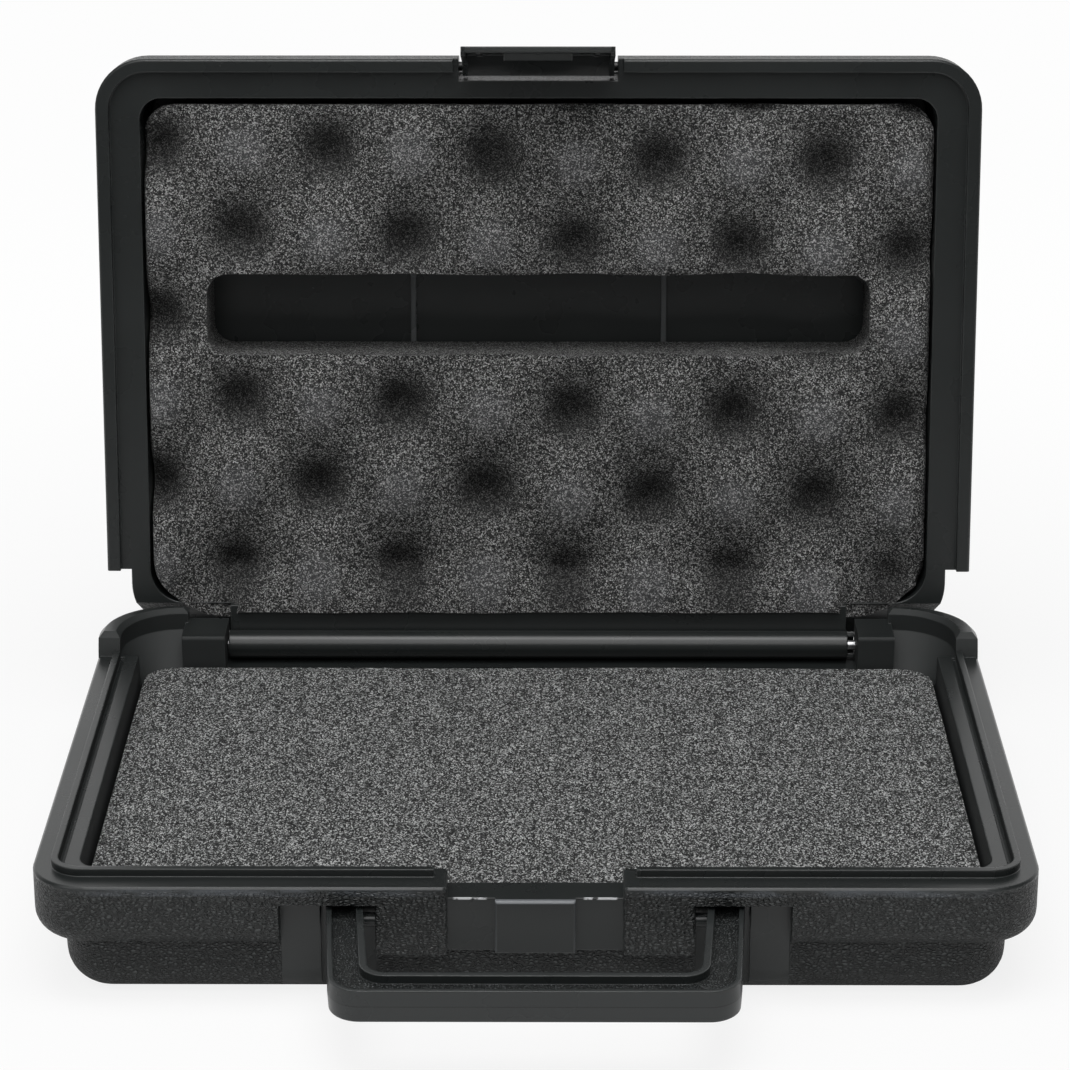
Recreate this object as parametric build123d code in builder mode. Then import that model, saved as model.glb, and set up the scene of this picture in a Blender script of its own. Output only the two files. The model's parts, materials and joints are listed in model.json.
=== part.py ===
from build123d import *
import os
from math import cos, radians, sin

# A blow-moulded instrument case, standing open as it does on a bench.
# Millimetres. The origin is the centre of the base's flat underside,
# +X is to the right of someone facing the latch, +Y is to the back, +Z is up.

os.makedirs("parts", exist_ok=True)

# Overall sizes
case_width = 280.0
case_depth = 193.5
base_height = 37.0
lid_height = 37.0
lid_open_angle = 97.4

# Outline of both halves: a wide band at the parting line and a narrower belly
band_height = 19.0
band_edge_r = 7.0
belly_side_inset = 7.5
belly_front_inset = 5.3
belly_rear_inset = 3.0
belly_draft = 2.0
belly_edge_r = 11.0
front_corner_r = 16.0
rear_corner_r = 22.0
belly_corner_r = 14.0

# Double walls, measured at the rim, and the floor
rim_side_width = 12.7
rim_front_width = 12.5
rim_rear_width = 16.5
floor_thickness = 6.0
cavity_draft = 2.0
cavity_front_r = 6.0
cavity_rear_r = 10.0

# Tongue and groove round the rim of the base
tongue_side_inset = 6.1
tongue_front_inset = 8.0
tongue_width = 2.0
tongue_height = 2.3
groove_width = 1.4
groove_depth = 0.8
tongue_end_from_centre = 28.0
rim_chamfer = 0.6

# Ears that wrap the rear corners, and the hinge blocks between them
ear_length = 27.3
ear_height = 7.0
ear_side_wall = 6.9
ear_rear_wall = 4.2
ear_inner_end = 113.5
ear_chamfer = 1.5
ear_scoop_depth = 10.0
ear_scoop_straight = 0.5
block_height_over_rim = 2.3
block_edge_r = 1.2

# Hinge
hinge_below_rim = 5.0
barrel_r = 4.6
barrel_length = 200.4
barrel_gap_left = 0.5
barrel_gap_right = 2.7
barrel_clearance = 0.6
pin_r = 1.6
pin_fit = 0.05
pin_seat = 9.0
pin_end_gap = 0.3
pin_chamfer = 0.3
stop_gap = 0.15
barrel_back_height = 14.0
barrel_back_taper = 9.2
ear_gap = 0.5
lid_corner_clearance = 0.3

# Latch recess and catch on the front of the base
pad_outer = 44.2
pad_bottom_below_rim = 20.4
pad_edge_r = 1.2
recess_depth = 3.0
recess_below_rim = 4.4
catch_half_width = 11.1
catch_proud = 2.3
catch_chamfer = 0.5

# Handle channels in the front of the base
channel_outer = 70.8
channel_depth = 6.0
channel_roof_below_rim = 5.4
lane_outer = 59.6
lane_clearance = 0.45

# Handle
handle_pivot_back = 3.5
handle_pivot_below_rim = 11.2
handle_reach = 46.1
handle_thickness = 9.4
handle_leg_width = 10.3
handle_leg_gap = 3.7
handle_taper_in = 3.4
handle_droop = 3.4
handle_outer_r = 9.0
handle_inner_r = 5.0
handle_draft = 3.0
handle_outer_rail = 1.5
handle_inner_rail = 2.1
handle_web_depth = 2.6
handle_end_round = 0.85
peg_r = 2.0
peg_fit = 0.06
peg_depth = 5.5

# Lid
rim_gap = 0.2
lip_width = 4.2
lid_rim_width = 13.6
lid_rear_corner_r = 18.0
lip_depth = 2.7
lid_rib_width = 1.8
lid_rib_height = 1.4
lid_rib_from_centre = 41.0
lid_rear_set_in = 5.1
notch_half_width = 25.2
notch_mouth_half_width = 26.9
notch_depth = 7.0
notch_height = 21.0

# Latch
latch_half_width = 23.9
latch_pivot_over_rim = 12.0
latch_pivot_back = 3.4
latch_proud = 2.0
latch_plate = 1.9
latch_flange = 1.5
latch_clearance = 0.5
latch_top_over_pivot = 1.6
latch_root_length = 9.0
latch_tip_depth = 0.9
latch_rib_height = 0.5
latch_hook_gap = 0.4
latch_hook_length = 2.0
latch_hook_land = 0.7
latch_hook_bite = 1.6
latch_tip_length = 4.0
latch_open_angle = 6.5
latch_rib_from_centre = 18.4
latch_end_r = 1.6
trunnion_r = 1.5
trunnion_fit = 0.06
trunnion_seat = 3.0

# Foam
foam_fit = 0.5
lid_foam_fit = 1.2
base_foam_top = 29.8
lid_foam_face = 3.0
lid_foam_corner_r = 9.0
slot_half_width = 106.5
slot_low = 93.6
slot_height = 26.5
slot_corner_r = 6.5

# How far a cut runs on past the face where it ends, and how near to a place an edge is picked
overcut = 1.0
pick_reach = 0.01

# Places that follow from the sizes above
front = -case_depth / 2
rear = case_depth / 2
side = case_width / 2
hinge_y = rear - barrel_r
hinge_z = base_height - hinge_below_rim
pad_bottom = base_height - pad_bottom_below_rim
recess_top = base_height - recess_below_rim
channel_roof = base_height - channel_roof_below_rim
handle_pivot_z = base_height - handle_pivot_below_rim
ear_y = rear - ear_length
crease_z = base_height - band_height
ear_top = base_height + ear_height
block_top = base_height + block_height_over_rim
block_front = rear - rim_rear_width
barrel_left = -barrel_length / 2
barrel_right = barrel_length / 2
block_left = barrel_left - barrel_gap_left
block_right = barrel_right + barrel_gap_right
wall_top_under_barrel = hinge_z - barrel_r - barrel_clearance
recess_half_width = latch_half_width + latch_clearance


def draft_over(height, degrees):
    """Sideways run of a drafted wall over a height."""
    return height * sin(radians(degrees)) / cos(radians(degrees))


def outline(half_width, y_front, y_rear, front_r, rear_r):
    """Rectangle with its own front and rear corner radii, in the sketch being drawn."""
    with Locations((0, (y_front + y_rear) / 2)):
        Rectangle(2 * half_width, y_rear - y_front)
    if front_r > 0:
        fillet(vertices().group_by(Axis.Y)[0], front_r)
    if rear_r > 0:
        fillet(vertices().group_by(Axis.Y)[-1], rear_r)


def block(x_range, y_range, z_range, mode=Mode.ADD):
    """Straight block between two corners, in the part being built."""
    with BuildSketch(Plane.XY.offset(z_range[0])) as plan:
        with Locations((sum(x_range) / 2, sum(y_range) / 2)):
            Rectangle(x_range[1] - x_range[0], y_range[1] - y_range[0])
    return extrude(plan.sketch, amount=z_range[1] - z_range[0], mode=mode)


def edges_at(axis, place):
    """Edges with their middle at one place along an axis, in the part being built."""
    return edges().filter_by_position(axis, place - pick_reach, place + pick_reach)


# The lid is drawn in the frame of the hinge line: across, back from the hinge, and up when shut
lid_plane = Plane(origin=(0, hinge_y, hinge_z), z_dir=(0, 0, 1)).rotated((-lid_open_angle, 0, 0))
lid_back = Axis(lid_plane.origin, lid_plane.y_dir)
lid_up = Axis(lid_plane.origin, lid_plane.z_dir)


def lid_side_plane(x):
    """Plane across the hinge line, for profiles in back and up."""
    origin = lid_plane.from_local_coords((x, 0, 0))
    return Plane(origin=origin, x_dir=lid_plane.y_dir, z_dir=lid_plane.x_dir)


def tongue_route(x_sign, set_in):
    """Middle of the rim's tongue on one side, or a line set in from it."""
    x = side - tongue_side_inset - set_in
    y = front + tongue_front_inset + set_in
    return (
        (x_sign * x, ear_y - ear_gap),
        (x_sign * x, y),
        (x_sign * tongue_end_from_centre, y),
    )


# Base shell

cavity_side = side - rim_side_width
cavity_front = front + rim_front_width
cavity_rear = rear - rim_rear_width
cavity_run = draft_over(base_height - floor_thickness, cavity_draft)
scoop_run = draft_over(ear_scoop_depth, cavity_draft)
catch_y = front + recess_depth - catch_proud
lane_depth = handle_pivot_back + handle_thickness / 2 + lane_clearance
pivot_y = front + handle_pivot_back
ear_inner_side = side - ear_side_wall
ear_inner_rear = rear - ear_rear_wall
scoop_rear = cavity_rear - scoop_run
scoop_front = scoop_rear - cavity_rear_r - ear_scoop_straight
lid_front = front - hinge_y
lid_band_end = ear_y - ear_gap - hinge_y
rim_up = base_height + rim_gap - hinge_z
band_end_reach = Vector(lid_band_end, rim_up).length
pin_left = block_left - pin_seat
pin_right = block_right + pin_seat

with BuildPart() as base_shell:
    # Wide band, rounded under its lower edge
    with BuildSketch(Plane.XY.offset(crease_z)):
        outline(side, front, rear, front_corner_r, rear_corner_r)
    extrude(amount=band_height)
    fillet(faces().sort_by(Axis.Z)[0].edges(), band_edge_r)

    # Narrower belly with a soft bottom edge
    with BuildSketch(Plane.XY.offset(crease_z + band_edge_r)):
        outline(
            side - belly_side_inset,
            front + belly_front_inset,
            rear - belly_rear_inset,
            belly_corner_r,
            rear_corner_r,
        )
    extrude(amount=-(crease_z + band_edge_r), taper=belly_draft)
    fillet(faces().sort_by(Axis.Z)[0].edges(), belly_edge_r)

    # Ears standing on the rear corners
    with BuildSketch(Plane.XY.offset(base_height)):
        outline(side, front, rear, front_corner_r, rear_corner_r)
        with Locations((0, (front + ear_y) / 2)):
            Rectangle(case_width, ear_y - front, mode=Mode.SUBTRACT)
        Rectangle(2 * ear_inner_end, case_depth, mode=Mode.SUBTRACT)
    extrude(amount=ear_height)

    # Front of each ear, curved to let the end of the lid's band swing past
    with BuildSketch(Plane((-side, hinge_y, base_height), x_dir=(0, 1, 0), z_dir=(1, 0, 0))):
        Rectangle(hinge_y - front, ear_height, align=(Align.MAX, Align.MIN))
        with Locations((0, hinge_z - base_height)):
            Circle(band_end_reach - ear_gap, mode=Mode.SUBTRACT)
    extrude(amount=case_width, mode=Mode.SUBTRACT)

    # Drafted cavity
    with BuildSketch(Plane.XY.offset(floor_thickness)):
        outline(
            cavity_side - cavity_run,
            cavity_front + cavity_run,
            cavity_rear - cavity_run,
            cavity_front_r,
            cavity_rear_r,
        )
    extrude(amount=ear_top - floor_thickness, taper=-cavity_draft, mode=Mode.SUBTRACT)

    # Inside of the ears, where the corners of the shut lid sit, and the scoop below it
    with BuildSketch(Plane.XY.offset(base_height)):
        outline(ear_inner_side, ear_y - overcut, ear_inner_rear, 0, rear_corner_r - ear_rear_wall)
    extrude(amount=ear_height, mode=Mode.SUBTRACT)
    with BuildSketch(Plane.XY.offset(base_height - ear_scoop_depth)):
        outline(cavity_side - scoop_run, scoop_front, scoop_rear, 0, cavity_rear_r)
    with BuildSketch(Plane.XY.offset(base_height)):
        outline(ear_inner_side, ear_y + tongue_width / 2, ear_inner_rear, 0, rear_corner_r - ear_rear_wall)
    loft(mode=Mode.SUBTRACT)
    chamfer(edges_at(Axis.Z, ear_top), ear_chamfer)

    # Rear wall cut down under the barrel, with a block left at each end for the pin
    wall_y = (cavity_rear - overcut, rear + overcut)
    block((block_left, block_right), wall_y, (wall_top_under_barrel, ear_top + overcut), Mode.SUBTRACT)
    for x_range in ((-ear_inner_end - overcut, block_left), (block_right, ear_inner_end + overcut)):
        block(x_range, (block_front, rear), (crease_z + band_edge_r, block_top))
    fillet(edges_at(Axis.Z, block_top).sort_by(Axis.Y)[:2], block_edge_r)

    # Facet on the wall's top edge where the rolled back of the open lid comes to rest
    with BuildSketch(lid_side_plane(block_left)):
        Rectangle(barrel_r + stop_gap, barrel_back_height, align=(Align.MIN, Align.MIN))
    extrude(amount=block_right - block_left, mode=Mode.SUBTRACT)

    # Front plate for the latch, with its recess, the gap over the recess and the catch
    block((-pad_outer, pad_outer), (front, front + channel_depth), (pad_bottom, base_height))
    block(
        (-recess_half_width, recess_half_width),
        (front - overcut, front + recess_depth),
        (pad_bottom - overcut, base_height + overcut),
        Mode.SUBTRACT,
    )
    block(
        (-recess_half_width, recess_half_width),
        (front - overcut, cavity_front + overcut),
        (recess_top, base_height + overcut),
        Mode.SUBTRACT,
    )
    block(
        (-catch_half_width, catch_half_width),
        (catch_y, front + recess_depth + overcut),
        (pad_bottom, recess_top),
    )
    chamfer(edges_at(Axis.Y, catch_y), catch_chamfer)

    # Channels either side for the handle, deeper in the lane of each leg
    for x_sign in (-1, 1):
        channel_x = sorted((x_sign * pad_outer, x_sign * channel_outer))
        lane_x = sorted((x_sign * pad_outer, x_sign * lane_outer))
        for x_range, depth in ((channel_x, channel_depth), (lane_x, lane_depth)):
            block(x_range, (front - overcut, front + depth), (-overcut, channel_roof), Mode.SUBTRACT)

    # Rounded corners of the front plate and softened edge of the rim
    for x in (-pad_outer, -recess_half_width, recess_half_width, pad_outer):
        fillet(edges_at(Axis.X, x).filter_by(Axis.Z).sort_by(Axis.Y)[0], pad_edge_r)
    rim_edges = edges_at(Axis.Z, base_height)
    front_edges = rim_edges.sort_by(Axis.Y)[:4]
    side_edges = rim_edges.sort_by(Axis.X)
    chamfer([*front_edges, side_edges[0], side_edges[-1]], rim_chamfer)

    # Tongue that the lid's lip closes round, with a shallow groove inside it
    groove_set_in = (tongue_width + groove_width) / 2
    for x_sign in (-1, 1):
        with BuildSketch(Plane.XY.offset(base_height)):
            with BuildLine():
                FilletPolyline(*tongue_route(x_sign, 0), radius=front_corner_r - tongue_front_inset)
            trace(line_width=tongue_width)
        extrude(amount=tongue_height)
        with BuildSketch(Plane.XY.offset(base_height - groove_depth)):
            with BuildLine():
                FilletPolyline(
                    *tongue_route(x_sign, groove_set_in),
                    radius=front_corner_r - tongue_front_inset - groove_set_in,
                )
            trace(line_width=groove_width)
        extrude(amount=groove_depth, mode=Mode.SUBTRACT)

    # Bores for the hinge pin and for the handle's pegs
    with BuildSketch(Plane((pin_left, hinge_y, hinge_z), z_dir=(1, 0, 0))):
        Circle(pin_r + pin_fit)
    extrude(amount=pin_right - pin_left, mode=Mode.SUBTRACT)
    for x_sign in (-1, 1):
        with BuildSketch(Plane((x_sign * pad_outer, pivot_y, handle_pivot_z), z_dir=(-x_sign, 0, 0))):
            Circle(peg_r + peg_fit)
        extrude(amount=peg_depth, mode=Mode.SUBTRACT)

base_shell.part.label = "base_shell"
export_step(base_shell.part, "parts/base_shell.step")

# Hinge pin, lying in the blocks and running through the lid's barrel

with BuildPart() as hinge_pin:
    with BuildSketch(Plane((pin_left + pin_end_gap, hinge_y, hinge_z), z_dir=(1, 0, 0))):
        Circle(pin_r)
    extrude(amount=pin_right - pin_left - 2 * pin_end_gap)
    chamfer(edges().filter_by(GeomType.CIRCLE), pin_chamfer)
hinge_pin.part.label = "hinge_pin"
export_step(hinge_pin.part, "parts/hinge_pin.step")

# Foam block in the base

with BuildPart() as base_foam:
    with BuildSketch(Plane.XY.offset(floor_thickness)):
        outline(
            cavity_side - cavity_run - foam_fit,
            cavity_front + cavity_run + foam_fit,
            cavity_rear - cavity_run - foam_fit,
            cavity_front_r,
            cavity_rear_r,
        )
    extrude(amount=base_foam_top - floor_thickness)
base_foam.part.label = "base_foam"
export_step(base_foam.part, "parts/base_foam.step")

# Carry handle, an I-section loop drawn flat on its own plane and held a little below level

handle_plane = Plane(origin=(0, pivot_y, handle_pivot_z), z_dir=(0, 0, 1)).rotated((handle_droop, 0, 0))
leg_inner = pad_outer + handle_leg_gap
leg_outer = leg_inner + handle_leg_width
grip_outer = leg_outer - handle_taper_in
grip_inner = leg_inner - handle_taper_in


def loop(outer_set_in, inner_set_in, end_y):
    """Handle's plan: a U whose outer and inner edges are set in by two amounts."""
    far_y = -handle_reach + outer_set_in
    near_y = -handle_reach + handle_leg_width - inner_set_in
    with BuildLine() as plan:
        Polyline(
            (-leg_outer + outer_set_in, end_y),
            (-grip_outer + outer_set_in, far_y),
            (grip_outer - outer_set_in, far_y),
            (leg_outer - outer_set_in, end_y),
            (leg_inner + inner_set_in, end_y),
            (grip_inner + inner_set_in, near_y),
            (-grip_inner - inner_set_in, near_y),
            (-leg_inner - inner_set_in, end_y),
            close=True,
        )
    make_face(plan.edges())
    fillet(vertices().group_by(Axis.Y)[1], handle_inner_r + inner_set_in)
    fillet(vertices().group_by(Axis.Y)[0], handle_outer_r - outer_set_in)


half_thickness = handle_thickness / 2
with BuildPart() as carry_handle:
    with BuildSketch(handle_plane):
        loop(0, 0, half_thickness)
    extrude(amount=half_thickness, both=True, taper=handle_draft)
    leg_ends = edges().filter_by(Axis.X).group_by(Axis(handle_plane.origin, handle_plane.y_dir))[-2]
    fillet(leg_ends, half_thickness * handle_end_round)
    for side_sign in (-1, 1):
        with BuildSketch(handle_plane.offset(side_sign * half_thickness)):
            loop(handle_outer_rail, handle_inner_rail, half_thickness + overcut)
        extrude(amount=-side_sign * handle_web_depth, mode=Mode.SUBTRACT)
    for x_sign in (-1, 1):
        with BuildSketch(Plane((x_sign * leg_inner, pivot_y, handle_pivot_z), z_dir=(-x_sign, 0, 0))):
            Circle(peg_r)
        extrude(amount=handle_leg_gap + peg_depth)
carry_handle.part.label = "carry_handle"
export_step(carry_handle.part, "parts/carry_handle.step")

# Lid shell

def lid_block(x_range, back_range, up_range, mode=Mode.ADD):
    """Straight block between two corners in the lid's frame, in the part being built."""
    with BuildSketch(lid_plane.offset(up_range[0])) as plan:
        with Locations((sum(x_range) / 2, sum(back_range) / 2)):
            Rectangle(x_range[1] - x_range[0], back_range[1] - back_range[0])
    return extrude(plan.sketch, amount=up_range[1] - up_range[0], mode=mode)


lid_rear = barrel_r - lid_rear_set_in
land_up = rim_up + lip_depth
lid_top_up = rim_up + lid_height
lid_ceiling_up = lid_top_up - floor_thickness
lid_cavity_side = side - lid_rim_width
lid_cavity_front = lid_front + rim_front_width
lid_cavity_rear = cavity_rear - hinge_y
lid_cavity_run = draft_over(lid_ceiling_up - rim_up, cavity_draft)
block_reach = Vector(block_front - hinge_y, block_top - hinge_z).length
lid_corner_r = block_reach + lid_corner_clearance
latch_pivot_up = rim_up + latch_pivot_over_rim
latch_pivot_from_hinge = lid_front + latch_pivot_back
trunnion_run = notch_half_width + trunnion_seat

with BuildPart() as lid_shell:
    # Wide band, rounded above, that ends where the base's ears start
    with BuildSketch(lid_plane.offset(rim_up)):
        outline(side, lid_front, lid_band_end, front_corner_r, 0)
    extrude(amount=band_height)
    fillet(edges().group_by(lid_up)[-1].sort_by(lid_back)[:-1], band_edge_r)
    chamfer(edges().group_by(lid_up)[0].sort_by(lid_back)[:-1], rim_chamfer)

    # Narrower belly that reaches back between the ears
    with BuildSketch(lid_plane.offset(land_up)):
        outline(
            side - belly_side_inset,
            lid_front + belly_front_inset,
            lid_rear,
            belly_corner_r,
            lid_rear_corner_r,
        )
    extrude(amount=lid_top_up - land_up, taper=belly_draft)
    fillet(faces().sort_by(lid_up)[-1].edges(), belly_edge_r)

    # Rear wall rolled round the pin as one long barrel
    with BuildSketch(lid_side_plane(barrel_left)):
        Circle(barrel_r)
        with BuildLine():
            Polyline(
                (lid_cavity_rear, barrel_r),
                (0, barrel_r),
                (0, 0),
                (barrel_r, 0),
                (barrel_r, barrel_back_height),
                (lid_rear - barrel_r, barrel_back_height + barrel_back_taper),
                (lid_cavity_rear, barrel_back_height + barrel_back_taper),
                close=True,
            )
        make_face()
    extrude(amount=barrel_length)

    # Clearance swept by the hinge blocks and ears at both ends of the barrel
    for start, end in ((-side, barrel_left), (barrel_right, side)):
        with BuildSketch(lid_side_plane(start)):
            Circle(lid_corner_r)
        extrude(amount=end - start, mode=Mode.SUBTRACT)

    # Drafted cavity
    with BuildSketch(lid_plane.offset(lid_ceiling_up)):
        outline(
            lid_cavity_side - lid_cavity_run,
            lid_cavity_front + lid_cavity_run,
            lid_cavity_rear - lid_cavity_run,
            cavity_front_r,
            cavity_rear_r,
        )
    extrude(amount=-lid_ceiling_up, taper=-cavity_draft, mode=Mode.SUBTRACT)

    # Land inside the raised lip, which clears the tongue of the base
    with BuildSketch(lid_plane.offset(rim_up)):
        outline(
            side - lip_width,
            lid_front + lip_width,
            lid_band_end + band_edge_r,
            front_corner_r - lip_width,
            0,
        )
    extrude(amount=lip_depth, mode=Mode.SUBTRACT)

    # Two ribs across the ceiling
    for x_sign in (-1, 1):
        rib_middle = x_sign * lid_rib_from_centre
        lid_block(
            (rib_middle - lid_rib_width / 2, rib_middle + lid_rib_width / 2),
            (lid_cavity_front + lid_cavity_run - overcut, lid_cavity_rear - lid_cavity_run + overcut),
            (lid_ceiling_up - lid_rib_height, lid_ceiling_up + overcut),
        )

    # Notch for the latch, wider at the rim, with a bore in each side wall for its trunnions
    notch_back = (lid_front - overcut, lid_front + notch_depth)
    notch_x = (-notch_half_width, notch_half_width)
    mouth_x = (-notch_mouth_half_width, notch_mouth_half_width)
    lid_block(notch_x, notch_back, (rim_up - overcut, rim_up + notch_height), Mode.SUBTRACT)
    lid_block(mouth_x, notch_back, (rim_up - overcut, land_up), Mode.SUBTRACT)
    with BuildSketch(lid_side_plane(-trunnion_run)):
        with Locations((latch_pivot_from_hinge, latch_pivot_up)):
            Circle(trunnion_r + trunnion_fit)
    extrude(amount=2 * trunnion_run, mode=Mode.SUBTRACT)

    # Running bore for the hinge pin
    with BuildSketch(lid_side_plane(barrel_left)):
        Circle(pin_r + pin_fit)
    extrude(amount=barrel_length, mode=Mode.SUBTRACT)
lid_shell.part.label = "lid_shell"
export_step(lid_shell.part, "parts/lid_shell.step")

# Foam in the lid, with the long slot through it

with BuildPart() as lid_foam:
    with BuildSketch(lid_plane.offset(rim_up + lid_foam_face)):
        outline(
            lid_cavity_side - lid_cavity_run - lid_foam_fit,
            lid_cavity_front + lid_cavity_run + lid_foam_fit,
            lid_cavity_rear - lid_cavity_run - lid_foam_fit,
            lid_foam_corner_r,
            cavity_rear_r,
        )
        with Locations((0, -slot_low - slot_height / 2)):
            RectangleRounded(2 * slot_half_width, slot_height, slot_corner_r, mode=Mode.SUBTRACT)
    extrude(amount=lid_ceiling_up - lid_rib_height - rim_up - lid_foam_face)
lid_foam.part.label = "lid_foam"
export_step(lid_foam.part, "parts/lid_foam.step")

# Latch, a shallow tray hung on two trunnions in the lid's notch

latch_plane = Plane(
    origin=lid_plane.from_local_coords((0, latch_pivot_from_hinge, latch_pivot_up)),
    x_dir=lid_plane.x_dir,
    z_dir=lid_plane.z_dir,
).rotated((-latch_open_angle, 0, 0))


def latch_side_plane(x):
    """Plane across the latch's pivot line, for profiles in back and up."""
    origin = latch_plane.from_local_coords((x, 0, 0))
    return Plane(origin=origin, x_dir=latch_plane.y_dir, z_dir=latch_plane.x_dir)


def latch_profile(points, x_from, x_to):
    """Prism across the latch between two places, in the part being built."""
    with BuildSketch(latch_side_plane(x_from)) as profile:
        with BuildLine() as edge:
            Polyline(*points, close=True)
        make_face(edge.edges())
    return extrude(profile.sketch, amount=x_to - x_from)


latch_outer = -latch_pivot_back - latch_proud
latch_inner = latch_outer + latch_plate
latch_root_r = notch_depth - latch_pivot_back - latch_clearance
latch_hook_up = pad_bottom - latch_hook_gap - hinge_z - latch_pivot_up
latch_tip_up = latch_hook_up - latch_tip_length
latch_shoulder_back = recess_depth - latch_pivot_back - latch_clearance
latch_shoulder_up = recess_top + latch_clearance - hinge_z - latch_pivot_up
latch_hook_back = recess_depth - catch_proud + latch_hook_bite - latch_pivot_back
flange_middle = latch_half_width - latch_flange / 2
plate_middle = latch_inner - latch_plate / 2
trunnion_length = trunnion_run - flange_middle - latch_clearance
latch_up = Axis(latch_plane.origin, latch_plane.z_dir)
latch_back = Axis(latch_plane.origin, latch_plane.y_dir)

with BuildPart() as latch:
    # Outer plate, rounded at the finger end
    with BuildSketch(latch_plane.offset(latch_tip_up)):
        with Locations((0, (latch_outer + latch_inner) / 2)):
            Rectangle(2 * latch_half_width, latch_plate)
    extrude(amount=latch_top_over_pivot - latch_tip_up)
    fillet(edges().filter_by(latch_back).group_by(latch_up)[0], latch_end_r)

    # Side flanges and end ribs, deepest at the pivot
    for x_middle in (-flange_middle, flange_middle):
        x_from = x_middle - latch_flange / 2
        with BuildSketch(latch_side_plane(x_from)):
            Circle(latch_root_r)
        extrude(amount=latch_flange)
        latch_profile(
            (
                (plate_middle, latch_root_r / 2),
                (0, latch_root_r),
                (latch_root_r, 0),
                (latch_root_r, -latch_root_length),
                (latch_shoulder_back, latch_shoulder_up),
                (latch_inner + latch_tip_depth, latch_tip_up + latch_end_r),
                (plate_middle, latch_tip_up + latch_end_r),
            ),
            x_from,
            x_from + latch_flange,
        )

    # Cross wall under the pivot and low ribs down the plate
    latch_profile(
        (
            (plate_middle, latch_flange - latch_root_length),
            (latch_root_r, latch_flange - latch_root_length),
            (latch_root_r, -latch_root_length),
            (plate_middle, -latch_root_length),
        ),
        -flange_middle,
        flange_middle,
    )
    for x_middle in (-latch_rib_from_centre, 0, latch_rib_from_centre):
        latch_profile(
            (
                (plate_middle, -latch_root_length),
                (latch_inner + latch_rib_height, -latch_root_length),
                (latch_inner + latch_rib_height, latch_tip_up + latch_end_r),
                (plate_middle, latch_tip_up + latch_end_r),
            ),
            x_middle - latch_flange / 2,
            x_middle + latch_flange / 2,
        )

    # Hook that snaps under the catch
    latch_profile(
        (
            (plate_middle, latch_hook_up),
            (latch_hook_back, latch_hook_up),
            (latch_hook_back, latch_hook_up - latch_hook_land),
            (latch_inner, latch_hook_up - latch_hook_length),
            (plate_middle, latch_hook_up - latch_hook_length),
        ),
        -catch_half_width + latch_clearance,
        catch_half_width - latch_clearance,
    )

    # Trunnions
    for x_from in (-flange_middle - trunnion_length, flange_middle):
        with BuildSketch(latch_side_plane(x_from)):
            Circle(trunnion_r)
        extrude(amount=trunnion_length)
latch.part.label = "latch"
export_step(latch.part, "parts/latch.step")
for piece in (base_shell, hinge_pin, base_foam, carry_handle, lid_shell, lid_foam, latch):
    print(piece.part.label, piece.part.is_valid, round(piece.part.volume), len(piece.part.solids()))
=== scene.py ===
import json
from math import cos, pi, radians, sin

import bmesh
import bpy
from mathutils import Matrix, Vector, noise
from mathutils.geometry import delaunay_2d_cdt


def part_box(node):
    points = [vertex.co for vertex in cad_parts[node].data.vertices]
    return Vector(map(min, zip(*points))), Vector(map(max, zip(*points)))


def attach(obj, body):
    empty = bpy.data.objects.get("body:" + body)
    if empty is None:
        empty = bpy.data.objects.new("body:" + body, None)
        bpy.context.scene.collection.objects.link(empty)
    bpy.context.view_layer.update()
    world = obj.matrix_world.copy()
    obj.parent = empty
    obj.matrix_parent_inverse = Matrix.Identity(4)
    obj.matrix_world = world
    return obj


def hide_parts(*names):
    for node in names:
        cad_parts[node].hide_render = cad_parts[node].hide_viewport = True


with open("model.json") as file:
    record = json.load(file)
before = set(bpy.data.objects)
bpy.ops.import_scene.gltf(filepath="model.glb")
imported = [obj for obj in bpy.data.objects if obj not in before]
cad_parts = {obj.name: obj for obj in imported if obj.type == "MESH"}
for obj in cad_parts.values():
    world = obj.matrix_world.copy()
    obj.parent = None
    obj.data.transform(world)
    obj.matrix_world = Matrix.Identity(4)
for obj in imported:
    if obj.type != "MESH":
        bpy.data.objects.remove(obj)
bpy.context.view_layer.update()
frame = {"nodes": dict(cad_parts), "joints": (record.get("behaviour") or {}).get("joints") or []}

MM = 0.001

# Places on the case: the joints and the base's front are read from the model, the rest repeat its sizes

joints = {joint["name"]: joint for joint in frame["joints"]}
hinge = Vector(joints["lid_hinge"]["pos_m"])
lid_open = radians(joints["lid_hinge"]["range_deg"][1])
lid_tilt = Matrix.Rotation(-lid_open, 3, "X")
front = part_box("base_shell")[0].y
rim_height = 37.0 * MM
pad_side = 44.2 * MM
pad_bottom = 16.6 * MM
recess_side = 24.4 * MM
recess_back = front + 3.0 * MM
recess_top = 32.6 * MM
catch_side = 11.1 * MM
channel_side = 70.8 * MM
channel_roof = 31.6 * MM
channel_back = front + 9.0 * MM
catch_gap = (13.5 * MM, 22.5 * MM)
# Run across the front wall that gets the painted sheen along its top edge
sheen_run = (30 * MM, 122 * MM)
lid_rim_up = 5.2 * MM
lid_wall_up = (16 * MM, 20 * MM)
lid_middle = -90 * MM
lid_rib_side = 41.0 * MM
handle_pivot = Vector(joints["handle_swing"]["pos_m"])
handle_droop = radians(3.4)

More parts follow.
